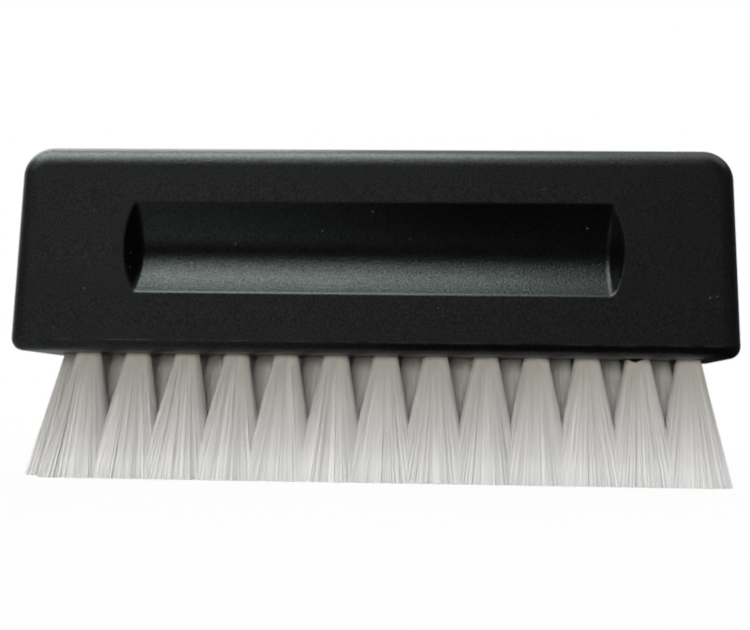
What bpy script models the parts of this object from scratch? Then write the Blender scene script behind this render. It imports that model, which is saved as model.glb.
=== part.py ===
"""Record brush: a black plastic block with a finger groove in each face and three rows of nylon tufts.

X runs along the block, the front faces -Y and +Z is up, in metres. The brush stands on its bristle tips,
and the origin lies on that plane, under the middle of the block.
"""

import math

import bmesh
import bpy
from mathutils import Matrix, Vector

# Handle block
BLOCK_LENGTH = 0.140
BLOCK_THICKNESS = 0.034
BLOCK_HEIGHT = 0.0399
DRAFT = math.radians(2.0)
TOP_CORNER_RADIUS = 0.0047
EDGE_RADIUS = 0.0029
LOWER_CORNER_EXTRA = 0.0002
CORNER_STEPS = 6
EDGE_STEPS = 4
SHARPEST_LEFT_ALONE = math.radians(60.0)
SHARPEST_SMOOTH_ANGLE = math.radians(35.0)

# Finger grooves, one in each face
GROOVE_LENGTH = 0.0966
GROOVE_WIDTH = 0.0178
GROOVE_DEPTH = 0.0045
GROOVE_RISE = 0.0204
GROOVE_END_RADIUS = 0.020
GROOVE_END_SLOPE = math.radians(32.0)
GROOVE_RIM_RADIUS = 0.0008
GROOVE_FLOOR_STEPS = 20
GROOVE_END_STEPS = 16
GROOVE_RIM_STEPS = 3

# Tuft pattern: each row is half a pitch off its neighbour, so the holes stand in equal triangles
ROWS = ("front", "middle", "back")
TUFTS_PER_ROW = 13
END_MARGIN = 0.0084
PITCHES_TO_END = (TUFTS_PER_ROW - 1) / 2 + 1 / 4
TUFT_PITCH = (BLOCK_LENGTH / 2 - END_MARGIN) / PITCHES_TO_END
ROW_SPACING = TUFT_PITCH * math.sqrt(3) / 2
HOLE_DIAMETER = 0.0049
HOLE_DEPTH = 0.0115
DRILL_POINT = math.radians(59.0)
HOLE_SIDES = 12
FIT_CLEARANCE = 0.0003

# Flat wire anchors, driven into the holes inside the fold of each tuft
ANCHOR_BITE = 0.0004
ANCHOR_THICKNESS = 0.0005
ANCHOR_WIDTH = 0.0021
ANCHOR_COVER = 0.0015

# Bristles
BRISTLE_TRIM = 0.0246
FRINGE_SETBACK = 0.0005
FRINGE_LENGTH = BLOCK_LENGTH - 2 * FRINGE_SETBACK
FRINGE_THICKNESS = 0.031
TUFT_GAP = 0.0005
PLUG_SIDES = 8
STRAND_SIDES = 3
STRAND_RADIUS_SHARE = 0.18
# Rings of strands in a tuft: (how many, distance from the axis as a share of the tuft's radius)
STRAND_RINGS_SHARES = ((4, 0.32), (8, 0.77))
FOLD_WIDTH_SHARE = 0.45
FOLD_HEIGHT_SHARE = 0.7

# Every cutter runs this far past the face that it starts from
OVERRUN = 0.002


def clear_scene():
    for obj in list(bpy.data.objects):
        bpy.data.objects.remove(obj)


def material(name, colour, roughness):
    made = bpy.data.materials.new(name)
    made.use_nodes = True
    shader = made.node_tree.nodes["Principled BSDF"]
    shader.inputs["Base Color"].default_value = (*colour, 1.0)
    shader.inputs["Roughness"].default_value = roughness
    shader.inputs["Metallic"].default_value = 0.0
    return made


def add_object(name, bm, surface=None):
    """Turn the bmesh into an object with outward normals and, where it is given, a material."""
    bmesh.ops.recalc_face_normals(bm, faces=bm.faces)
    mesh = bpy.data.meshes.new(name)
    bm.to_mesh(mesh)
    bm.free()
    obj = bpy.data.objects.new(name, mesh)
    bpy.context.scene.collection.objects.link(obj)
    if surface:
        mesh.materials.append(surface)
        mesh.shade_smooth()
        mesh.set_sharp_from_angle(angle=SHARPEST_SMOOTH_ANGLE)
    return obj


def add_cutter(name, bm):
    cutter = add_object(name, bm)
    cutter.hide_render = True
    cutter.display_type = "WIRE"
    return cutter


def combine(obj, other, operation):
    modifier = obj.modifiers.new(f"{operation.title()} {other.name}", "BOOLEAN")
    modifier.operation = operation
    modifier.object = other
    modifier.solver = "EXACT"


def loft(bm, rings, end_point=None):
    """Skin closed rings of points, capping the first, and the last too unless it runs to an end point."""
    loops = [[bm.verts.new(point) for point in ring] for ring in rings]
    for lower, upper in zip(loops, loops[1:]):
        for i in range(len(lower)):
            bm.faces.new((lower[i - 1], lower[i], upper[i], upper[i - 1]))
    bm.faces.new(loops[0])
    if end_point is None:
        bm.faces.new(loops[-1])
        return
    tip = bm.verts.new(end_point)
    for i in range(len(loops[-1])):
        bm.faces.new((loops[-1][i - 1], loops[-1][i], tip))


def circle(sides, turn=0.0):
    """Points of a unit circle about the origin, in the XY plane."""
    angles = (math.tau * i / sides + turn for i in range(sides))
    return [Vector((math.cos(angle), math.sin(angle), 0.0)) for angle in angles]


def rounded_outline(corners, radii, steps):
    """Outline of a polygon in the XZ plane whose corners are arcs of these radii."""
    outline = []
    for i, corner in enumerate(corners):
        before = (corners[i - 1] - corner).normalized()
        after = (corners[(i + 1) % len(corners)] - corner).normalized()
        half_angle = before.angle(after) / 2
        centre = corner + (before + after).normalized() * radii[i] / math.sin(half_angle)
        start = corner + before * radii[i] / math.tan(half_angle) - centre
        sweep = math.pi - 2 * half_angle
        for step in range(steps + 1):
            turn = Matrix.Rotation(-sweep * step / steps, 3, "Y")
            outline.append(centre + turn @ start)
    return outline


def draft_inset(rise):
    """How far the drafted sides have come in at this height above the underside."""
    return rise * math.tan(DRAFT)


def block_outline():
    """The block seen from the front, counterclockwise from its lower left corner."""
    foot = BLOCK_LENGTH / 2
    head = foot - draft_inset(BLOCK_HEIGHT)
    corners = [
        Vector((-foot, 0.0, 0.0)),
        Vector((foot, 0.0, 0.0)),
        Vector((head, 0.0, BLOCK_HEIGHT)),
        Vector((-head, 0.0, BLOCK_HEIGHT)),
    ]
    lower = EDGE_RADIUS + LOWER_CORNER_EXTRA
    return rounded_outline(corners, [lower, lower, TOP_CORNER_RADIUS, TOP_CORNER_RADIUS], CORNER_STEPS)


def solid_block(surface):
    """The outline drawn out between the two drafted faces, its long edges rounded over."""
    outline = block_outline()
    rings = []
    for side in (-1, 1):
        reach = [side * (BLOCK_THICKNESS / 2 - draft_inset(point.z)) for point in outline]
        rings.append([Vector((p.x, y, BRISTLE_TRIM + p.z)) for p, y in zip(outline, reach)])
    bm = bmesh.new()
    loft(bm, rings)
    block = add_object("handle_block", bm, surface)
    round_over = block.modifiers.new("Round-over", "BEVEL")
    round_over.width = EDGE_RADIUS
    round_over.segments = EDGE_STEPS
    round_over.limit_method = "ANGLE"
    round_over.angle_limit = SHARPEST_LEFT_ALONE
    round_over.use_clamp_overlap = False
    return block


def rounded_rim(steepness):
    """Profile of a groove's rim down to a wall of this steepness: how far each point is outward of the
    sharp rim that the arc replaces, and how deep. It starts off the face, along the arc's first chord."""
    reach = GROOVE_RIM_RADIUS * math.tan(steepness / 2)
    turns = [steepness * step / GROOVE_RIM_STEPS for step in range(1, GROOVE_RIM_STEPS + 1)]
    profile = [(reach + OVERRUN / math.tan(turns[0] / 2), -OVERRUN)]
    for turn in turns:
        profile.append((reach - GROOVE_RIM_RADIUS * math.sin(turn), GROOVE_RIM_RADIUS * (1 - math.cos(turn))))
    return profile


def groove_end_shape():
    """A long plug with round ends that slope inwards, which ends the groove. Its +Y points into the block."""
    middle = GROOVE_LENGTH / 2 - GROOVE_END_RADIUS
    bottom = GROOVE_DEPTH + OVERRUN
    foot = (-bottom * math.tan(GROOVE_END_SLOPE), bottom)
    rings = []
    for outward, depth in [*rounded_rim(math.pi / 2 - GROOVE_END_SLOPE), foot]:
        radius = GROOVE_END_RADIUS + outward
        ring = []
        for side in (1, -1):
            for step in range(GROOVE_END_STEPS + 1):
                angle = math.pi * (step / GROOVE_END_STEPS - 0.5)
                across = side * (middle + radius * math.cos(angle))
                ring.append(Vector((across, depth, side * radius * math.sin(angle))))
        rings.append(ring)
    bm = bmesh.new()
    loft(bm, rings)
    return bm


def groove_trough():
    """A long bar along X with the groove's curved floor and the rounded rims on both sides of it."""
    radius = (GROOVE_WIDTH**2 / 4 + GROOVE_DEPTH**2) / (2 * GROOVE_DEPTH)
    steepness = math.asin(GROOVE_WIDTH / 2 / radius)
    rim = [(GROOVE_WIDTH / 2 + outward, depth) for outward, depth in rounded_rim(steepness)]
    floor = []
    for step in range(1, GROOVE_FLOOR_STEPS):
        angle = steepness * (1 - 2 * step / GROOVE_FLOOR_STEPS)
        floor.append((radius * math.sin(angle), GROOVE_DEPTH - radius * (1 - math.cos(angle))))
    profile = [*rim, *floor, *((-across, depth) for across, depth in reversed(rim))]
    ends = (-GROOVE_LENGTH, GROOVE_LENGTH)
    bm = bmesh.new()
    loft(bm, [[Vector((end, depth, across)) for across, depth in profile] for end in ends])
    return bm


def cut_finger_groove(block, face):
    """Sink one groove square to the drafted face: face is -1 at the front and 1 at the back."""
    reach = BLOCK_THICKNESS / 2 - draft_inset(GROOVE_RISE)
    place = Matrix.Translation((0.0, face * reach, BRISTLE_TRIM + GROOVE_RISE))
    facing = Matrix.Rotation(math.pi if face > 0 else 0.0, 4, "Z")
    lean = Matrix.Rotation(-DRAFT, 4, "X")
    side = "front" if face < 0 else "back"
    trough = add_cutter(f"{side}_groove_trough", groove_trough())
    cutter = add_cutter(f"{side}_groove_cutter", groove_end_shape())
    for piece in (trough, cutter):
        piece.matrix_world = place @ facing @ lean
    combine(cutter, trough, "INTERSECT")
    combine(block, cutter, "DIFFERENCE")


def tuft_places():
    """Row name, number and place of each tuft, from the left end of the front row."""
    middle_row = (len(ROWS) - 1) / 2
    for row, name in enumerate(ROWS):
        shift = TUFT_PITCH / 4 * (1 if row % 2 == 0 else -1)
        for number in range(TUFTS_PER_ROW):
            x = (number - (TUFTS_PER_ROW - 1) / 2) * TUFT_PITCH + shift
            yield name, number + 1, Vector((x, (row - middle_row) * ROW_SPACING, BRISTLE_TRIM))


def drill_holes(block):
    """Blind holes with a drill point, one for each tuft."""
    radius = HOLE_DIAMETER / 2
    bm = bmesh.new()
    for _, _, mouth in tuft_places():
        rings = []
        for rise in (-OVERRUN, HOLE_DEPTH):
            level = mouth + Vector((0.0, 0.0, rise))
            rings.append([level + radius * point for point in circle(HOLE_SIDES, math.pi / HOLE_SIDES)])
        point = mouth + Vector((0.0, 0.0, HOLE_DEPTH + radius / math.tan(DRILL_POINT)))
        loft(bm, rings, point)
    combine(block, add_cutter("tuft_hole_cutter", bm), "DIFFERENCE")


def anchor_rise():
    """Height of the anchor's middle above the hole's mouth."""
    return HOLE_DEPTH - FIT_CLEARANCE - ANCHOR_COVER - ANCHOR_WIDTH / 2


def cut_anchor_notches(block):
    """Notches in each hole's wall, where the ends of the anchor have bitten into the plastic."""
    size = Vector((
        HOLE_DIAMETER + 2 * (ANCHOR_BITE + FIT_CLEARANCE),
        ANCHOR_THICKNESS + 2 * FIT_CLEARANCE,
        ANCHOR_WIDTH + 2 * FIT_CLEARANCE,
    ))
    bm = bmesh.new()
    for _, _, mouth in tuft_places():
        place = Matrix.Translation(mouth + Vector((0.0, 0.0, anchor_rise())))
        bmesh.ops.create_cube(bm, size=1.0, matrix=place @ Matrix.Diagonal((*size, 1.0)))
    combine(block, add_cutter("anchor_notch_cutter", bm), "DIFFERENCE")


def strand_outlines():
    """Outlines of a tuft's strands, in a tuft of radius 1."""
    for count, distance in STRAND_RINGS_SHARES:
        for centre in circle(count, math.pi / PLUG_SIDES):
            turn = math.atan2(centre.y, centre.x)
            corners = circle(STRAND_SIDES, turn)
            yield [centre * distance + corner * STRAND_RADIUS_SHARE for corner in corners]


def grow_anchor_end(bm, wall, root, side):
    """Draw the anchor's end out of the plug's flat wall, as far as it bites into the hole's wall."""
    bmesh.ops.inset_individual(bm, faces=[wall], thickness=ANCHOR_THICKNESS / 2)
    middle = wall.calc_center_median()
    rise = root.z + anchor_rise()
    for vert in wall.verts:
        offset = vert.co - middle
        vert.co.y = middle.y + math.copysign(ANCHOR_THICKNESS / 2, offset.y)
        vert.co.z = rise + math.copysign(ANCHOR_WIDTH / 2, offset.z)
    grown = bmesh.ops.extrude_discrete_faces(bm, faces=[wall])["faces"][0]
    for vert in grown.verts:
        vert.co.x = root.x + side * (HOLE_DIAMETER / 2 + ANCHOR_BITE)


def plug_radius():
    return HOLE_DIAMETER / 2 - FIT_CLEARANCE


def tip_place(root):
    """Where a tuft's axis ends and how far its tips reach: the rows fan out to the fringe's full size."""
    tip_pitch = (FRINGE_LENGTH + TUFT_GAP) / 2 / (PITCHES_TO_END + 1 / 2)
    reach = (tip_pitch - TUFT_GAP) / 2
    outer_row = ROW_SPACING * (len(ROWS) - 1) / 2
    fan = (FRINGE_THICKNESS / 2 - reach) / outer_row
    return Vector((root.x * tip_pitch / TUFT_PITCH, root.y * fan, 0.0)), reach


def ring_edges(bm, ring):
    return [bm.edges.new((ring[i - 1], ring[i])) for i in range(len(ring))]


def tuft_mouth(bm):
    """The packed bundle's lower end, of radius 1, with an open outline where each strand leaves it."""
    rim = [bm.verts.new(point) for point in circle(PLUG_SIDES, math.pi / PLUG_SIDES)]
    feet = [[bm.verts.new(point) for point in outline] for outline in strand_outlines()]
    edges = ring_edges(bm, rim)
    for foot in feet:
        edges += ring_edges(bm, foot)
    bmesh.ops.triangle_fill(bm, edges=edges, use_beauty=True)
    return rim, feet


def extend(bm, loop, points):
    """Draw the loop on to these points, and return the new loop and its walls."""
    further = [bm.verts.new(point) for point in points]
    walls = [bm.faces.new((loop[i - 1], loop[i], further[i], further[i - 1])) for i in range(len(loop))]
    return further, walls


def tuft(name, root, surface):
    """Nylon strands fused to the packed bundle in the hole, which is folded over its anchor."""
    bm = bmesh.new()
    rim, feet = tuft_mouth(bm)
    tip_centre, reach = tip_place(root)
    tips = [[tip_centre + reach * vert.co for vert in foot] for foot in feet]
    fold = [Vector((vert.co.x, vert.co.y * FOLD_WIDTH_SHARE, 0.0)) * plug_radius() for vert in rim]
    bmesh.ops.transform(bm, matrix=Matrix.Translation(root) @ Matrix.Scale(plug_radius(), 4), verts=bm.verts)
    for foot, tip in zip(feet, tips):
        bm.faces.new(extend(bm, foot, tip)[0])
    top = root + Vector((0.0, 0.0, HOLE_DEPTH - FIT_CLEARANCE))
    shoulder_rise = Vector((0.0, 0.0, HOLE_DEPTH - FIT_CLEARANCE - FOLD_HEIGHT_SHARE * ANCHOR_COVER))
    shoulder, walls = extend(bm, rim, [vert.co + shoulder_rise for vert in rim])
    bm.faces.new(extend(bm, shoulder, [top + point for point in fold])[0])
    walls.sort(key=lambda wall: wall.calc_center_median().x)
    grow_anchor_end(bm, walls[0], root, -1)
    grow_anchor_end(bm, walls[-1], root, 1)
    return add_object(name, bm, surface)


def build():
    clear_scene()
    black_plastic = material("black_plastic", (0.016, 0.016, 0.019), 0.5)
    white_nylon = material("white_nylon", (0.70, 0.68, 0.64), 0.45)
    block = solid_block(black_plastic)
    for face in (-1, 1):
        cut_finger_groove(block, face)
    drill_holes(block)
    cut_anchor_notches(block)
    for row, number, root in tuft_places():
        tuft(f"{row}_tuft_{number:02d}", root, white_nylon)


build()
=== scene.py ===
"""Looks of the record brush: a black block with finger grooves over three rows of nylon tufts."""

import math
import random

import bmesh
import bpy
from mathutils import Matrix, Vector


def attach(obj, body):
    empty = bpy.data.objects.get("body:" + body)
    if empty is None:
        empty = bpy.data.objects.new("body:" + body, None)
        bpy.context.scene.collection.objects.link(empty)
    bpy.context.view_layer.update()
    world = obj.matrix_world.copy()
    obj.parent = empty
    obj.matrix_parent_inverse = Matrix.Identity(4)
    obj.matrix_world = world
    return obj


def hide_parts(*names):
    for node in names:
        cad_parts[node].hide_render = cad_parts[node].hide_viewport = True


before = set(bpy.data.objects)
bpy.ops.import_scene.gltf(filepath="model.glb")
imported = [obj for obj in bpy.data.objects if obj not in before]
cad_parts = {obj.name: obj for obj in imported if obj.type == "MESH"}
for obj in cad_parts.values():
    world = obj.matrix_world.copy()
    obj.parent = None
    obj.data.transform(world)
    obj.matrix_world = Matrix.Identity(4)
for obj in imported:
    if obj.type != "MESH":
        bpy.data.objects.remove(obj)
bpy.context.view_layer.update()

# Block, a little longer and higher than the solids, as the photograph shows it
BLOCK_LENGTH = 0.1412
BLOCK_THICKNESS = 0.034
BLOCK_HEIGHT = 0.04025
BRISTLE_TRIM = 0.0246
DRAFT = math.radians(2.0)
TOP_CORNER_RADIUS = 0.006
LOWER_CORNER_RADIUS = 0.0025
EDGE_RADIUS = 0.0029
TOP_EDGE_EXTRA = 0.00115
END_EDGE_EXTRA = 0.0006
CORNER_STEPS = 14
EDGE_STEPS = 9
SUPPORT_LOOP = 0.00015
RIDGE_CREASE = math.radians(13.0)
SOFTEST_CREASE_SHARE = 0.2
SHARPEST_SMOOTH_ANGLE = math.radians(40.0)
FILL_SCALE = 1000.0

# Finger grooves
GROOVE_LENGTH = 0.0965
GROOVE_WIDTH = 0.0178
GROOVE_DEPTH = 0.0045
GROOVE_RISE = 0.0204
GROOVE_END_RADIUS = 0.020
GROOVE_END_SLOPE = math.radians(29.0)
RIM_SOFTNESS = 0.0003
END_WALL_SOFTNESS = 0.0011
SANDED_DEPTH = 0.0001
# Stretches of the groove's grid: (share of the half length or half width that it runs to, steps)
LENGTH_STRETCHES = ((0.84, 14), (1.06, 34))
WIDTH_STRETCHES = ((0.86, 14), (1.16, 18))

# Tufts, in holes that stand in equal triangles
ROWS = ("front", "middle", "back")
TUFTS_PER_ROW = 13
END_MARGIN = 0.0092
PITCHES_TO_END = (TUFTS_PER_ROW - 1) / 2 + 1 / 4
TUFT_PITCH = (BLOCK_LENGTH / 2 - END_MARGIN) / PITCHES_TO_END
ROW_SPACING = TUFT_PITCH * math.sqrt(3) / 2
HOLE_RADIUS = 0.00245
HOLE_DEPTH = 0.0115
DRILL_POINT = math.radians(59.0)
HOLE_STEPS = 24
LIP_WIDTH = 0.0004
LIP_HEIGHT = 0.00008
BURR_HEIGHT = 0.0005
BURR_SPREAD = math.radians(22.0)
BURR_SEED = 4
# Row, number, angle and height of the one burr that hangs down in front of its tuft
HANGING_BURR = ("front", 12, math.radians(-105.0), 0.0007)

# Filaments
FILAMENTS_PER_TUFT = 3200
POINTS_ALONG = 3
FILAMENT_SIDES = 3
FILAMENT_DIAMETER = 0.00014
BUNDLE_RADIUS = 0.00234
FOLD_RISE = 0.0105
FOLD_SQUEEZE_SHARE = 0.7
TIP_REACH = 0.00735
TIP_WANDER = 0.00018
TIP_LEAN = 0.00045
TRIM_SLACK = 0.00015
# Power of the rounded square that the tips of a tuft fill: 2 is a circle, and more is squarer
TIP_SQUARENESS = 4.0
ANCHOR_SIZE = (0.0056, 0.0005, 0.0021)
ANCHOR_RISE = 0.0085
FRINGE_HALF_LENGTH = 0.07005
FRINGE_HALF_THICKNESS = 0.0155
GOLDEN_ANGLE = math.pi * (3 - math.sqrt(5))
TUFT_INPUTS = {
    "Mouth": "Vector", "Tip": "Vector", "Filaments": "Int", "Points along": "Int", "Diameter": "Float",
    "Bundle radius": "Float", "Tip reach": "Float", "Tip wander": "Float", "Trim slack": "Float",
    "Fold rise": "Float", "Anchor size": "Vector", "Anchor rise": "Float", "Seed": "Int",
    "Nylon": "Material", "Wire": "Material",
}

# Plastic
MILLED_BLACK = (0.0014, 0.0011, 0.0012, 1.0)
SANDED_BLACK = (0.0051, 0.0043, 0.0049, 1.0)
DUST_GREY = (0.045, 0.045, 0.043, 1.0)
# Pale grey of the lower ridge: a painted highlight line along it, and rubbed wear in its nicks
RIDGE_HIGHLIGHT_AND_WEAR_GREY = (0.022, 0.022, 0.021, 1.0)
HIGHLIGHT_TINT = (0.84, 1.0, 0.96, 1.0)
# The middle part of a noise texture's range
NOISE_SPAN = (0.3, 0.7)
GRAIN = {"Scale": 2600.0, "Detail": 2.0, "Roughness": 0.6}
GRAIN_HEIGHT = 0.00006
GRAIN_SHADES = (0.65, 1.35)
GRAIN_GLOSS = (0.3, 0.7)
PATCHES = {"Scale": 90.0, "Detail": 4.0}
PATCH_ROUGHNESS = (0.28, 0.32)
SANDED_ROUGHNESS_EXTRA = 0.06
DUST_SCALE = 700.0
# Distances from a speck's middle at which it starts to fade and is gone, in cells of the dust's texture
DUST_FADE_CELLS = (0.08, 0.16)
CLEAN_SHARE = 0.96
# Nicks on the lower ridge: the least strength is its painted highlight line, which runs all along it, and
# more is rubbed wear
NICKS = {"Scale": 450.0, "Detail": 5.0}
NICK_SPAN = (0.4, 0.66)
NICK_STRENGTHS = (0.15, 1.0)

# Nylon and wire
NYLON_AT_TIP = (0.995, 0.992, 0.98, 1.0)
# Painted shade: the filaments are painted darker and warmer from the tips' own white up to the roots, where
# the block shades them
NYLON_IN_PAINTED_ROOT_SHADE = (0.435, 0.411, 0.363, 1.0)
WHITE_TIP_HEIGHT = 0.003
DARKEST_TONE_SHARE = 0.97
NYLON_ROUGHNESS = 0.35
TRANSLUCENCY_SHARE = 0.4
WIRE_GREY = (0.55, 0.54, 0.52, 1.0)
WIRE_STREAKS = (200.0, 9000.0, 9000.0)

# Floor
FLOOR_SIZE = 6.0
FLOOR_GREY = (0.85, 0.85, 0.85, 1.0)
FLOOR_ROUGHNESS = 0.9
# Distances from the brush's middle, and the share of plain white that the camera sees there
WHITE_SPAN = (0.12, 0.6)
WHITE_SHARES = (0.97, 1.0)
# Painted reflection in the floor, which only the brush's gloss sees: its grey from left to right, and the
# distances it fades over
MIRRORED_SPAN = (-0.055, 0.01)
PAINTED_REFLECTION_GREYS = (0.62, 0.03)
MIRRORED_FADE = (0.15, 0.45)

# Backdrop: it gets brighter from the side to straight behind, and darker to the right
BACKDROP_BRIGHTNESS = 0.9
BACKDROP_SPAN = (0.05, 0.8)
SHADED_SPAN = (-0.1, 0.5)
SHADED_SHARES = (1.0, 0.2)

BRUSH_MIDDLE = Vector((0.0, 0.0, 0.035))
# Name, place, size, brightness and what the lamp lights: matt leaves no glare, and gloss no shadows
SOFTBOXES = (
    ("left_overhead_softbox", (-0.15, -0.075, 0.45), (0.42, 0.24), 6.7, "gloss"),
    ("back_overhead_softbox", (-0.28, 0.3, 0.45), (0.46, 0.3), 2.5, "gloss"),
    ("right_overhead_softbox", (0.13, 0.05, 0.45), (0.56, 0.29), 1.1, "both"),
    ("front_overhead_softbox", (-0.18, -0.32, 0.45), (0.46, 0.24), 2.8, "gloss"),
    ("front_fill", (-0.09, -0.6, 0.09), (0.5, 0.17), 21.2, "matt"),
    ("back_fill", (0.09, 0.6, 0.15), (0.5, 0.17), 11.0, "matt"),
)

# Camera, from the photograph's perspective
PHOTO_WIDTH = 750
FOCAL_LENGTH_PIXELS = 1426.1
CENTRE_PIXEL_X = 400.85
SENSOR_WIDTH = 36.0
NEAREST_SEEN = 0.01
CAMERA_PLACE = Vector((0.01992, -0.2882, 0.01443))
CAMERA_YAW = -0.0521
CAMERA_PITCH = 0.0652
CAMERA_ROLL = 0.0145
# The lens is focused well before the brush, so all of it is as soft as the photograph
FOCUS_DISTANCE = 0.2
APERTURE_STOP = 90.0


def add_object(name, data):
    made = bpy.data.objects.new(name, data)
    bpy.context.scene.collection.objects.link(made)
    return made


def add_mesh(name, bm, surface):
    """Turn the bmesh into an object of this material."""
    mesh = bpy.data.meshes.new(name)
    bm.to_mesh(mesh)
    bm.free()
    mesh.materials.append(surface)
    return add_object(name, mesh)


def add_node(tree, kind, inputs=(), **settings):
    """Add a node. inputs pairs a socket's name or place with a value, or with the output that feeds it."""
    made = tree.nodes.new(kind)
    for name, value in settings.items():
        setattr(made, name, value)
    for key, value in dict(inputs).items():
        if isinstance(value, bpy.types.NodeSocket):
            tree.links.new(value, made.inputs[key])
        else:
            made.inputs[key].default_value = value
    return made


def sums(tree, operation, *values):
    """The output of a Math node on these values or outputs."""
    return add_node(tree, "ShaderNodeMath", enumerate(values), operation=operation).outputs[0]


def vector_sums(tree, operation, *values):
    return add_node(tree, "ShaderNodeVectorMath", enumerate(values), operation=operation).outputs[0]


def scaled(tree, vector, factor):
    return add_node(tree, "ShaderNodeVectorMath", {0: vector, "Scale": factor}, operation="SCALE").outputs[0]


def length_of(tree, vector):
    return add_node(tree, "ShaderNodeVectorMath", {0: vector}, operation="LENGTH").outputs["Value"]


def combined(tree, *parts):
    return add_node(tree, "ShaderNodeCombineXYZ", enumerate(parts)).outputs[0]


def separated(tree, vector):
    return add_node(tree, "ShaderNodeSeparateXYZ", {0: vector}).outputs


def mapped(tree, value, span, results=(0.0, 1.0)):
    """Map the value from a span to a pair of results, and hold it there past the span's ends."""
    names = ("Value", "From Min", "From Max", "To Min", "To Max")
    return add_node(tree, "ShaderNodeMapRange", zip(names, (value, *span, *results))).outputs[0]


def mixed(tree, kind, factor, first, second):
    """The output of a Mix node between two vectors or colours, each a value or an output."""
    inputs = {"Factor": factor, "A": first, "B": second}
    return add_node(tree, "ShaderNodeMix", inputs, data_type=kind).outputs["Result"]


def corner_arc(radius, rise, side, turn):
    """One rounded corner of the outline, as (point, outward normal) pairs in the XZ plane."""
    reach = BLOCK_LENGTH / 2 - (radius + rise * math.sin(DRAFT)) / math.cos(DRAFT)
    centre = Vector((side * reach, 0.0, rise))
    first, last = turn
    arc = []
    for step in range(CORNER_STEPS + 1):
        angle = first + (last - first) * step / CORNER_STEPS
        normal = Vector((math.cos(angle), 0.0, math.sin(angle)))
        arc.append((centre + radius * normal, normal))
    return arc


def block_outline():
    """The block seen from the front, counterclockwise from its lower left corner."""
    quarter = math.pi / 2
    top = BLOCK_HEIGHT - TOP_CORNER_RADIUS
    return [
        *corner_arc(LOWER_CORNER_RADIUS, LOWER_CORNER_RADIUS, -1, (2 * quarter - DRAFT, 3 * quarter)),
        *corner_arc(LOWER_CORNER_RADIUS, LOWER_CORNER_RADIUS, 1, (-quarter, DRAFT)),
        *corner_arc(TOP_CORNER_RADIUS, top, 1, (DRAFT, quarter)),
        *corner_arc(TOP_CORNER_RADIUS, top, -1, (quarter, 2 * quarter - DRAFT)),
    ]


def face_normal(face):
    """Outward normal of a drafted face: face is -1 at the front and 1 at the back."""
    return Vector((0.0, face * math.cos(DRAFT), math.sin(DRAFT)))


def round_over_rings(face):
    """Rings from the middle of the sides, over the rounded edge and on to the flat face, which the lower
    edge meets in a faint crease."""
    out = face_normal(face)
    rings = []
    for step in range(-1, EDGE_STEPS + 2):
        ring = []
        for point, normal in block_outline():
            crease = RIDGE_CREASE * max(-normal.z, 0.0)
            radius = EDGE_RADIUS + TOP_EDGE_EXTRA * max(normal.z, 0.0) ** 2 + END_EDGE_EXTRA * normal.x ** 2
            turn = min(max(step, 0), EDGE_STEPS) / EDGE_STEPS * (1 - crease / normal.angle(out))
            centre = point - radius * normal
            reach = BLOCK_THICKNESS / 2 - (radius + math.sin(DRAFT) * centre.z) / math.cos(DRAFT)
            centre.y = face * reach
            place = centre + radius * normal.slerp(out, turn) + radius * (1 - math.cos(crease)) * out
            if step < 0:
                place.y -= face * SUPPORT_LOOP
            if step > EDGE_STEPS:
                place -= SUPPORT_LOOP * (normal - normal.dot(out) * out).normalized()
            ring.append(place)
        rings.append(ring)
    return rings


def add_face(bm, verts):
    bm.faces.new(verts).smooth = True


def bridge(bm, lower, upper, left_open=None):
    """Quads between two closed loops of as many vertices. left_open is a step that stays open."""
    for i in range(len(lower)):
        if i != left_open:
            add_face(bm, (lower[i - 1], lower[i], upper[i], upper[i - 1]))


def add_loop(bm, points):
    return [bm.verts.new(point) for point in points]


def loop_edges(bm, loop):
    ends = [(loop[i - 1], loop[i]) for i in range(len(loop))]
    return [bm.edges.get(pair) or bm.edges.new(pair) for pair in ends]


def fill_between(bm, loops):
    """Fill a flat face that has holes, at a larger size, because the fill merges points that are near."""
    verts = [vert for loop in loops for vert in loop]
    edges = [edge for loop in loops for edge in loop_edges(bm, loop)]
    bmesh.ops.scale(bm, vec=(FILL_SCALE,) * 3, verts=verts)
    filled = bmesh.ops.triangle_fill(bm, edges=edges, use_beauty=True)
    bmesh.ops.scale(bm, vec=(1 / FILL_SCALE,) * 3, verts=verts)
    for item in filled["geom"]:
        item.smooth = True


def soft_least(a, b, softness):
    """The lesser of two depths, eased over the softness where they meet."""
    near = max(softness - abs(a - b), 0.0) / softness
    return min(a, b) - near * near * softness / 4


def groove_depth(along, across):
    """Depth of the finger groove below the face, at a place from its middle."""
    floor = GROOVE_DEPTH * (1 - (2 * across / GROOVE_WIDTH) ** 2)
    past_middle = max(abs(along) - (GROOVE_LENGTH / 2 - GROOVE_END_RADIUS), 0.0)
    wall = (GROOVE_END_RADIUS - math.hypot(past_middle, across)) / math.tan(GROOVE_END_SLOPE)
    return -soft_least(-soft_least(floor, wall, END_WALL_SOFTNESS), 0.0, RIM_SOFTNESS)


def grid_lines(half_size, stretches):
    """Places of the grid's lines from end to end, closer together where the groove's walls stand."""
    places = [0.0]
    for share, steps in stretches:
        start = places[-1]
        places += [start + (half_size * share - start) * (step + 1) / steps for step in range(steps)]
    return [-place for place in reversed(places[1:])] + places


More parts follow.
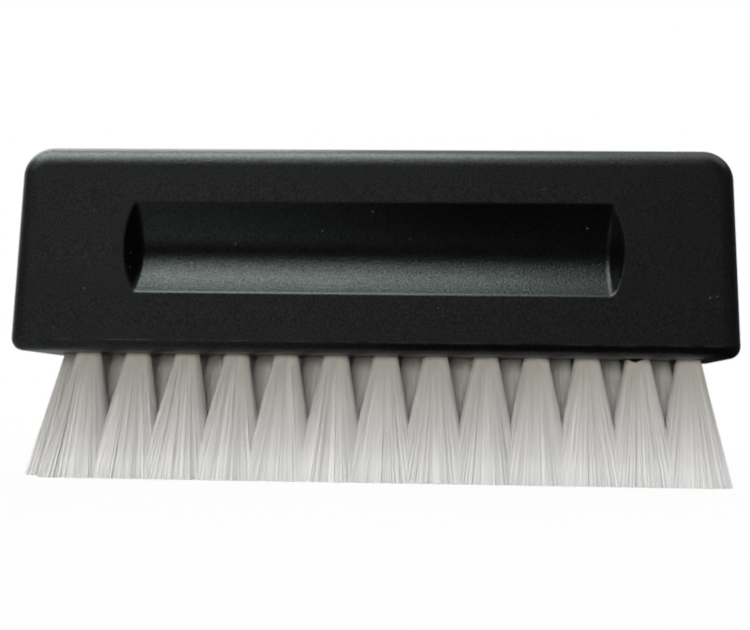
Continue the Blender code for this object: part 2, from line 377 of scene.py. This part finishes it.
def groove_grid(bm, face, sanded):
    """The face's middle with its scooped groove. Returns the grid's rim as a loop."""
    out = face_normal(face)
    up = Vector((0.0, -face * math.sin(DRAFT), math.cos(DRAFT)))
    middle = Vector((0.0, face * (BLOCK_THICKNESS / 2 - GROOVE_RISE * math.tan(DRAFT)), GROOVE_RISE))
    lengths = grid_lines(GROOVE_LENGTH / 2, LENGTH_STRETCHES)
    widths = grid_lines(GROOVE_WIDTH / 2, WIDTH_STRETCHES)
    rows = []
    for across in widths:
        level = middle + up * across
        depths = [groove_depth(along, across) for along in lengths]
        row = add_loop(bm, [
            level + Vector((along, 0.0, 0.0)) - out * depth for along, depth in zip(lengths, depths)
        ])
        for vert, depth in zip(row, depths):
            vert[sanded] = max(1.0 - depth / SANDED_DEPTH, 0.0)
        rows.append(row)
    for lower, upper in zip(rows, rows[1:]):
        for i in range(1, len(lower)):
            add_face(bm, (lower[i - 1], lower[i], upper[i], upper[i - 1]))
    right = [row[-1] for row in rows[1:-1]]
    left = [row[0] for row in rows[-2:0:-1]]
    return rows[0] + right + rows[-1][::-1] + left


def block_half(bm, face):
    """The front or back half: its round-over, and its flat face with the groove. Returns the loop where the
    halves meet."""
    lower_ridge = bm.verts.layers.float["lower_ridge"]
    sanded = bm.verts.layers.float["sanded"]
    normals = [normal for _, normal in block_outline()]
    loops = [add_loop(bm, ring) for ring in round_over_rings(face)]
    for lower, upper in zip(loops, loops[1:]):
        bridge(bm, lower, upper)
    for step, loop in enumerate(loops):
        turn = step / (len(loops) - 1)
        for vert, normal in zip(loop, normals):
            vert[sanded] = max(turn ** 2 * max(normal.z, 0.0), normal.x ** 2)
    ridge = loops[-2]
    # How far each vertex lies on the lower ridge: this sharpens the crease there, and places the plastic's
    # painted highlight line and rubbed nicks
    for vert, normal in zip(ridge, normals):
        vert[lower_ridge] = max(-normal.z, 0.0)
    for edge in loop_edges(bm, ridge):
        edge.smooth = min(vert[lower_ridge] for vert in edge.verts) < SOFTEST_CREASE_SHARE
    fill_between(bm, [loops[-1], groove_grid(bm, face, sanded)])
    for vert in loops[-1]:
        vert[sanded] = 1.0
    return loops[0]


def tuft_places():
    """Row name, number and middle of each tuft's mouth, from the left end of the front row."""
    for row, name in enumerate(ROWS):
        shift = TUFT_PITCH / 4 * (1 if row % 2 == 0 else -1)
        for number in range(TUFTS_PER_ROW):
            x = (number - (TUFTS_PER_ROW - 1) / 2) * TUFT_PITCH + shift
            yield name, number + 1, Vector((x, (row - (len(ROWS) - 1) / 2) * ROW_SPACING, 0.0))


def lip_drop(angle, burrs):
    """How far the hole's lip stands below the underside. Each burr on it is an angle and a height."""
    drop = LIP_HEIGHT
    for middle, height in burrs:
        away = math.remainder(angle - middle, math.tau) / BURR_SPREAD
        drop += height * math.exp(-away * away)
    return drop


def drill_hole(bm, mouth, burrs):
    """A blind hole with a raised lip. Returns the lip's outer loop, which lies in the underside."""
    turns = [math.tau * step / HOLE_STEPS for step in range(HOLE_STEPS)]
    rims = [Vector((math.cos(turn), math.sin(turn), 0.0)) for turn in turns]
    drops = [Vector((0.0, 0.0, -lip_drop(turn, burrs))) for turn in turns]
    crest_radius = HOLE_RADIUS + LIP_WIDTH / 2
    outer = add_loop(bm, [mouth + (HOLE_RADIUS + LIP_WIDTH) * rim for rim in rims])
    crest = add_loop(bm, [mouth + crest_radius * rim + drop for rim, drop in zip(rims, drops)])
    inner = add_loop(bm, [mouth + HOLE_RADIUS * rim + drop / 2 for rim, drop in zip(rims, drops)])
    bottom = Vector((0.0, 0.0, HOLE_DEPTH))
    floor = add_loop(bm, [mouth + HOLE_RADIUS * rim + bottom for rim in rims])
    for lower, upper in ((outer, crest), (crest, inner), (inner, floor)):
        bridge(bm, lower, upper)
    point = bm.verts.new(mouth + bottom + Vector((0.0, 0.0, HOLE_RADIUS / math.tan(DRILL_POINT))))
    for i in range(HOLE_STEPS):
        add_face(bm, (floor[i - 1], floor[i], point))
    return outer


def drill_holes(bm):
    """All the holes, each with a burr of its own height at both ends of its anchor, and one with one more.
    Returns the loops that they leave in the underside."""
    draws = random.Random(BURR_SEED)
    holes = []
    for row, number, mouth in tuft_places():
        burrs = [(side, BURR_HEIGHT * draws.random() ** 2) for side in (0.0, math.pi)]
        if (row, number) == HANGING_BURR[:2]:
            burrs.append(HANGING_BURR[2:])
        holes.append(drill_hole(bm, mouth, burrs))
    return holes


def handle_block(surface):
    """The whole block: rounded sides, a scooped groove in each face, and the drilled underside."""
    bm = bmesh.new()
    bm.verts.layers.float.new("lower_ridge")
    bm.verts.layers.float.new("sanded")
    halves = [block_half(bm, face) for face in (-1, 1)]
    underside = CORNER_STEPS + 1
    bridge(bm, *halves, left_open=underside)
    front, back = ((half[underside - 1], half[underside]) for half in halves)
    fill_between(bm, [[*front, *reversed(back)], *drill_holes(bm)])
    bmesh.ops.translate(bm, vec=(0.0, 0.0, BRISTLE_TRIM), verts=bm.verts)
    bmesh.ops.recalc_face_normals(bm, faces=bm.faces)
    for edge in bm.edges:
        edge.smooth = edge.smooth and edge.calc_face_angle(0.0) < SHARPEST_SMOOTH_ANGLE
    return add_mesh("grooved_block", bm, surface)


def filament_in_bundle(tree, given, filament):
    """Place of a filament in a bundle of radius 1, packed like the seeds of a sunflower."""
    share = sums(tree, "DIVIDE", sums(tree, "ADD", filament, 0.5), given["Filaments"])
    out = sums(tree, "SQRT", share)
    turn = sums(tree, "MULTIPLY", filament, GOLDEN_ANGLE)
    across = [sums(tree, "MULTIPLY", out, sums(tree, turned, turn)) for turned in ("COSINE", "SINE")]
    return combined(tree, *across)


def place_in_hole(tree, given, step, packed):
    """A filament's place at the mouth or, for its first point, at the fold, where the bundle is flatter."""
    folded = sums(tree, "MAXIMUM", sums(tree, "SUBTRACT", 1.0, step), 0.0)
    squeeze = sums(tree, "SUBTRACT", 1.0, sums(tree, "MULTIPLY", folded, FOLD_SQUEEZE_SHARE))
    held = vector_sums(tree, "MULTIPLY", packed, combined(tree, 1.0, squeeze, 0.0))
    lift = combined(tree, 0.0, 0.0, sums(tree, "MULTIPLY", given["Fold rise"], folded))
    level = vector_sums(tree, "ADD", given["Mouth"], scaled(tree, held, given["Bundle radius"]))
    return vector_sums(tree, "ADD", level, lift)


def place_at_tip(tree, given, filament, packed):
    """A filament's place at its tip: the bundle fans out to a rounded square, and each tip strays a bit."""
    across = separated(tree, packed)
    powers = [sums(tree, "POWER", sums(tree, "ABSOLUTE", across[axis]), TIP_SQUARENESS) for axis in (0, 1)]
    rounded = sums(tree, "POWER", sums(tree, "ADD", *powers), 1 / TIP_SQUARENESS)
    squared = sums(tree, "DIVIDE", length_of(tree, packed), rounded)
    fanned = scaled(tree, packed, sums(tree, "MULTIPLY", squared, given["Tip reach"]))
    random_vector = add_node(tree, "FunctionNodeRandomValue", {
        "Min": (-1.0, -1.0, -1.0), "Max": (1.0, 1.0, 1.0), "ID": filament, "Seed": given["Seed"],
    }, data_type="FLOAT_VECTOR")
    drawn = separated(tree, random_vector.outputs["Value"])
    strays = combined(
        tree,
        sums(tree, "MULTIPLY", drawn[0], given["Tip wander"]),
        sums(tree, "MULTIPLY", drawn[1], given["Tip wander"]),
        sums(tree, "MULTIPLY", sums(tree, "ABSOLUTE", drawn[2]), given["Trim slack"]),
    )
    return vector_sums(tree, "ADD", vector_sums(tree, "ADD", given["Tip"], fanned), strays)


def filament_path(tree, given, filament, step):
    """Place of one point of a filament: the first is at the fold, the second at the mouth, the last at the
    tip."""
    packed = filament_in_bundle(tree, given, filament)
    start = place_in_hole(tree, given, step, packed)
    end = place_at_tip(tree, given, filament, packed)
    steps_outside = sums(tree, "MAXIMUM", sums(tree, "SUBTRACT", step, 1.0), 0.0)
    outside = sums(tree, "DIVIDE", steps_outside, sums(tree, "SUBTRACT", given["Points along"], 2.0))
    return mixed(tree, "VECTOR", outside, start, end)


def coated(tree, geometry, material):
    return add_node(tree, "GeometryNodeSetMaterial", {"Geometry": geometry, "Material": material}).outputs[0]


def nylon_filaments(tree, given):
    """All the filaments of a tuft as solid strands, each with a tone of its own."""
    index = add_node(tree, "GeometryNodeInputIndex").outputs[0]
    filament = sums(tree, "FLOOR", sums(tree, "DIVIDE", index, given["Points along"]))
    step = sums(tree, "SUBTRACT", index, sums(tree, "MULTIPLY", filament, given["Points along"]))
    points = add_node(tree, "GeometryNodePoints", {
        "Count": sums(tree, "MULTIPLY", given["Filaments"], given["Points along"]),
        "Position": filament_path(tree, given, filament, step),
    })
    chance = {"ID": filament, "Seed": given["Seed"]}
    tone = add_node(tree, "FunctionNodeRandomValue", chance, data_type="FLOAT").outputs["Value"]
    toned = add_node(tree, "GeometryNodeStoreNamedAttribute", {
        "Geometry": points.outputs[0], "Name": "tone", "Value": tone,
    })
    curves = add_node(tree, "GeometryNodePointsToCurves", {
        "Points": toned.outputs[0], "Curve Group ID": filament, "Weight": step,
    })
    section = add_node(tree, "GeometryNodeCurvePrimitiveCircle", {
        "Resolution": FILAMENT_SIDES, "Radius": sums(tree, "DIVIDE", given["Diameter"], 2.0),
    })
    strands = add_node(tree, "GeometryNodeCurveToMesh", {
        "Curve": curves.outputs[0], "Profile Curve": section.outputs[0], "Fill Caps": True,
    })
    smooth = add_node(tree, "GeometryNodeSetShadeSmooth", {"Geometry": strands.outputs[0]})
    solid = add_node(tree, "GeometryNodeRealizeInstances", {"Geometry": smooth.outputs[0]})
    return coated(tree, solid.outputs[0], given["Nylon"])


def anchor_wire(tree, given):
    """The flat wire that holds the fold, driven across the hole."""
    wire = add_node(tree, "GeometryNodeMeshCube", {"Size": given["Anchor size"]})
    seat = vector_sums(tree, "ADD", given["Mouth"], combined(tree, 0.0, 0.0, given["Anchor rise"]))
    seated = add_node(tree, "GeometryNodeTransform", {"Geometry": wire.outputs[0], "Translation": seat})
    return coated(tree, seated.outputs[0], given["Wire"])


def tuft_tree():
    """Node group for one tuft: a bundle of filaments, folded over a flat anchor."""
    tree = bpy.data.node_groups.new("folded_tuft", "GeometryNodeTree")
    for name, kind in TUFT_INPUTS.items():
        tree.interface.new_socket(name, in_out="INPUT", socket_type=f"NodeSocket{kind}")
    tree.interface.new_socket("Geometry", in_out="OUTPUT", socket_type="NodeSocketGeometry")
    given = add_node(tree, "NodeGroupInput").outputs
    both = add_node(tree, "GeometryNodeJoinGeometry")
    tree.links.new(anchor_wire(tree, given), both.inputs[0])
    tree.links.new(nylon_filaments(tree, given), both.inputs[0])
    add_node(tree, "NodeGroupOutput", {0: both.outputs[0]})
    return tree


def tuft(tree, name, values):
    """Run the tree with these values and keep its result as a plain mesh."""
    maker = add_object("tuft_maker", bpy.data.meshes.new("tuft_maker"))
    modifier = maker.modifiers.new("Tuft", "NODES")
    modifier.node_group = tree
    sockets = {item.name: item.identifier for item in tree.interface.items_tree if item.in_out == "INPUT"}
    for key, value in values.items():
        modifier[sockets[key]] = value
    evaluated = maker.evaluated_get(bpy.context.evaluated_depsgraph_get())
    mesh = bpy.data.meshes.new_from_object(evaluated)
    bpy.data.objects.remove(maker)
    mesh.name = name
    return add_object(name, mesh)


def tip_place(mouth):
    """Where a tuft's middle ends: the rows fan out to the fringe's full length and thickness."""
    along = (FRINGE_HALF_LENGTH - TIP_REACH) / (PITCHES_TO_END * TUFT_PITCH)
    across = (FRINGE_HALF_THICKNESS - TIP_REACH) / ROW_SPACING
    return Vector((mouth.x * along - TIP_LEAN, mouth.y * across, 0.0))


def all_tufts(nylon, wire):
    """One piece for each tuft, with its own draws of chance."""
    tree = tuft_tree()
    for order, (row, number, mouth) in enumerate(tuft_places()):
        piece = tuft(tree, f"{row}_bristles_{number:02d}", {
            "Mouth": mouth + Vector((0.0, 0.0, BRISTLE_TRIM)),
            "Tip": tip_place(mouth),
            "Filaments": FILAMENTS_PER_TUFT,
            "Points along": POINTS_ALONG,
            "Diameter": FILAMENT_DIAMETER,
            "Bundle radius": BUNDLE_RADIUS,
            "Tip reach": TIP_REACH - TIP_WANDER,
            "Tip wander": TIP_WANDER,
            "Trim slack": TRIM_SLACK,
            "Fold rise": FOLD_RISE,
            "Anchor size": ANCHOR_SIZE,
            "Anchor rise": ANCHOR_RISE,
            "Seed": order,
            "Nylon": nylon,
            "Wire": wire,
        })
        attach(piece, "root")
        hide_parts(f"{row}_tuft_{number:02d}")


def new_material(name):
    """A material, its node tree, its shader, and the output with each point's place on the object."""
    surface = bpy.data.materials.new(name)
    surface.use_nodes = True
    tree = surface.node_tree
    place = add_node(tree, "ShaderNodeTexCoord").outputs["Object"]
    return surface, tree, tree.nodes["Principled BSDF"], place


def mix_shaders(tree, share, first, second):
    """Give the surface this share of the second shader, and the rest of the first."""
    mix = add_node(tree, "ShaderNodeMixShader", {0: share, 1: first.outputs[0], 2: second.outputs[0]})
    tree.links.new(mix.outputs[0], tree.nodes["Material Output"].inputs["Surface"])


def noise(tree, place, look):
    return add_node(tree, "ShaderNodeTexNoise", {"Vector": place, **look}).outputs["Fac"]


def attribute(tree, name):
    return add_node(tree, "ShaderNodeAttribute", attribute_name=name).outputs["Fac"]


def dust_specks(tree, place):
    """1 on a few small specks, and 0 elsewhere."""
    cells = add_node(tree, "ShaderNodeTexVoronoi", {"Vector": place, "Scale": DUST_SCALE}).outputs
    speck = mapped(tree, cells["Distance"], DUST_FADE_CELLS, (1.0, 0.0))
    drawn = add_node(tree, "ShaderNodeSeparateColor", {0: cells["Color"]}).outputs[0]
    return sums(tree, "MULTIPLY", speck, sums(tree, "GREATER_THAN", drawn, CLEAN_SHARE))


def ridge_highlight_and_wear(tree, place):
    """How pale the lower ridge is painted: a faint painted highlight line all along it, and rubbed wear that
    is paler in some nicks than between them.
    """
    nicked = mapped(tree, noise(tree, place, NICKS), NICK_SPAN, NICK_STRENGTHS)
    return sums(tree, "MULTIPLY", sums(tree, "POWER", attribute(tree, "lower_ridge"), 2.0), nicked)


def black_plastic():
    """Plastic with a fine matt grain and specks of dust. The flat faces are paler and duller than the
    grooves and round-overs, and the lower ridge has a painted highlight line with pale rubbed nicks."""
    surface, tree, shader, place = new_material("black_plastic")
    sanded = attribute(tree, "sanded")
    grain = noise(tree, place, GRAIN)
    bump = add_node(tree, "ShaderNodeBump", {"Height": grain, "Distance": GRAIN_HEIGHT})
    tree.links.new(bump.outputs[0], shader.inputs["Normal"])
    tree.links.new(mapped(tree, grain, NOISE_SPAN, GRAIN_GLOSS), shader.inputs["Specular IOR Level"])
    limits = [sums(tree, "MULTIPLY_ADD", sanded, SANDED_ROUGHNESS_EXTRA, limit) for limit in PATCH_ROUGHNESS]
    roughness = mapped(tree, noise(tree, place, PATCHES), NOISE_SPAN, limits)
    tree.links.new(roughness, shader.inputs["Roughness"])
    base = mixed(tree, "RGBA", sanded, MILLED_BLACK, SANDED_BLACK)
    grained = scaled(tree, base, mapped(tree, grain, NOISE_SPAN, GRAIN_SHADES))
    dusted = mixed(tree, "RGBA", dust_specks(tree, place), grained, DUST_GREY)
    # The lower ridge gets a painted highlight line, and rubbed wear in its nicks
    colour = mixed(tree, "RGBA", ridge_highlight_and_wear(tree, place), dusted, RIDGE_HIGHLIGHT_AND_WEAR_GREY)
    tree.links.new(colour, shader.inputs["Base Color"])
    shader.inputs["Specular Tint"].default_value = HIGHLIGHT_TINT
    return surface


def white_nylon():
    """Fine translucent filaments with painted shade: darker and warmer towards the roots, which the block
    shades, and white at the tips. Each is a little paler or greyer than the next.
    """
    surface, tree, shader, place = new_material("white_nylon")
    # Painted shade, from none at the tips to full at the roots under the block
    painted_root_shade = mapped(tree, separated(tree, place)[2], (WHITE_TIP_HEIGHT, BRISTLE_TRIM))
    along = mixed(tree, "RGBA", painted_root_shade, NYLON_AT_TIP, NYLON_IN_PAINTED_ROOT_SHADE)
    tone = attribute(tree, "tone")
    shade = sums(tree, "MULTIPLY_ADD", tone, 1.0 - DARKEST_TONE_SHARE, DARKEST_TONE_SHARE)
    colour = scaled(tree, along, shade)
    tree.links.new(colour, shader.inputs["Base Color"])
    shader.inputs["Roughness"].default_value = NYLON_ROUGHNESS
    through = add_node(tree, "ShaderNodeBsdfTranslucent", {"Color": colour})
    mix_shaders(tree, TRANSLUCENCY_SHARE, shader, through)
    return surface


def anchor_metal():
    """Plain drawn wire, brushed along its length."""
    surface, tree, shader, place = new_material("anchor_metal")
    drawn = add_node(tree, "ShaderNodeMapping", {"Vector": place, "Scale": WIRE_STREAKS}).outputs[0]
    tree.links.new(noise(tree, drawn, {"Scale": 1.0}), shader.inputs["Roughness"])
    shader.inputs["Base Color"].default_value = WIRE_GREY
    shader.inputs["Metallic"].default_value = 1.0
    return surface


def floor_surface():
    """White to the camera, but for the brush's shadow, and pale to the brush. The brush's gloss sees only a
    painted reflection in it, grey near and to the left and dark elsewhere."""
    surface, tree, shader, place = new_material("pale_floor")
    shader.inputs["Roughness"].default_value = FLOOR_ROUGHNESS
    shader.inputs["Specular IOR Level"].default_value = 0.0
    away = length_of(tree, place)
    rays = add_node(tree, "ShaderNodeLightPath").outputs
    # Painted reflection: a grey that only the brush's gloss sees, paler to the left and fading with distance
    painted_reflection = mapped(tree, separated(tree, place)[0], MIRRORED_SPAN, PAINTED_REFLECTION_GREYS)
    near = mapped(tree, away, MIRRORED_FADE, (1.0, 0.0))
    gloss = sums(tree, "MULTIPLY", painted_reflection, near)
    colour = mixed(tree, "RGBA", rays["Is Glossy Ray"], FLOOR_GREY, gloss)
    tree.links.new(colour, shader.inputs["Base Color"])
    white = add_node(tree, "ShaderNodeEmission")
    seen = sums(tree, "MULTIPLY", rays["Is Camera Ray"], mapped(tree, away, WHITE_SPAN, WHITE_SHARES))
    mix_shaders(tree, seen, shader, white)
    return surface


def pale_floor():
    """A white floor that keeps the brush's shadow and turns into the white background further off."""
    bm = bmesh.new()
    bmesh.ops.create_grid(bm, x_segments=1, y_segments=1, size=FLOOR_SIZE / 2)
    floor = add_mesh("floor", bm, floor_surface())


def studio_world():
    """White to the camera. To the brush it is a white backdrop behind it, which is darker to the right."""
    world = bpy.data.worlds.new("studio")
    bpy.context.scene.world = world
    world.use_nodes = True
    tree = world.node_tree
    shader = tree.nodes["Background"]
    direction = separated(tree, add_node(tree, "ShaderNodeTexCoord").outputs["Generated"])
    behind = mapped(tree, direction[1], BACKDROP_SPAN, (0.0, BACKDROP_BRIGHTNESS))
    lit = sums(tree, "MULTIPLY", behind, mapped(tree, direction[0], SHADED_SPAN, SHADED_SHARES))
    rays = add_node(tree, "ShaderNodeLightPath").outputs
    tree.links.new(sums(tree, "MAXIMUM", rays["Is Camera Ray"], lit), shader.inputs["Strength"])
    shader.inputs["Color"].default_value = (1.0, 1.0, 1.0, 1.0)


def softbox(name, place, size, brightness, lights):
    """A lamp that faces the brush, with its first side as near as it can be to the brush's length."""
    data = bpy.data.lights.new(name, "AREA")
    data.shape = "RECTANGLE"
    data.size, data.size_y = size
    data.energy = brightness * math.pi * size[0] * size[1]
    lamp = add_object(name, data)
    back = (Vector(place) - BRUSH_MIDDLE).normalized()
    along = (Vector((1.0, 0.0, 0.0)) - back.x * back).normalized()
    turned = Matrix((along, back.cross(along), back)).transposed()
    lamp.matrix_world = Matrix.Translation(place) @ turned.to_4x4()
    lamp.visible_glossy = lights != "matt"
    lamp.visible_diffuse = lights != "gloss"


def studio_camera():
    """The photograph's camera, at its place and turned by its yaw, pitch and roll."""
    data = bpy.data.cameras.new("camera")
    data.sensor_width = SENSOR_WIDTH
    data.lens = FOCAL_LENGTH_PIXELS * SENSOR_WIDTH / PHOTO_WIDTH
    data.shift_x = (PHOTO_WIDTH / 2 - CENTRE_PIXEL_X) / PHOTO_WIDTH
    data.clip_start = NEAREST_SEEN
    data.dof.use_dof = True
    data.dof.focus_distance = FOCUS_DISTANCE
    data.dof.aperture_fstop = APERTURE_STOP
    ahead = Vector((
        math.sin(CAMERA_YAW) * math.cos(CAMERA_PITCH),
        math.cos(CAMERA_YAW) * math.cos(CAMERA_PITCH),
        math.sin(CAMERA_PITCH),
    ))
    level = Vector((math.cos(CAMERA_YAW), -math.sin(CAMERA_YAW), 0.0))
    up = level.cross(ahead)
    right = math.cos(CAMERA_ROLL) * level + math.sin(CAMERA_ROLL) * up
    over = math.cos(CAMERA_ROLL) * up - math.sin(CAMERA_ROLL) * level
    turned = Matrix((right, over, -ahead)).transposed()
    camera = add_object("camera", data)
    camera.matrix_world = Matrix.Translation(CAMERA_PLACE) @ turned.to_4x4()
    bpy.context.scene.camera = camera


block = handle_block(black_plastic())
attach(block, "root")
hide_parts("handle_block")
all_tufts(white_nylon(), anchor_metal())
pale_floor()
studio_world()
for lamp in SOFTBOXES:
    softbox(*lamp)
studio_camera()
bpy.context.scene.view_settings.view_transform = "Standard"
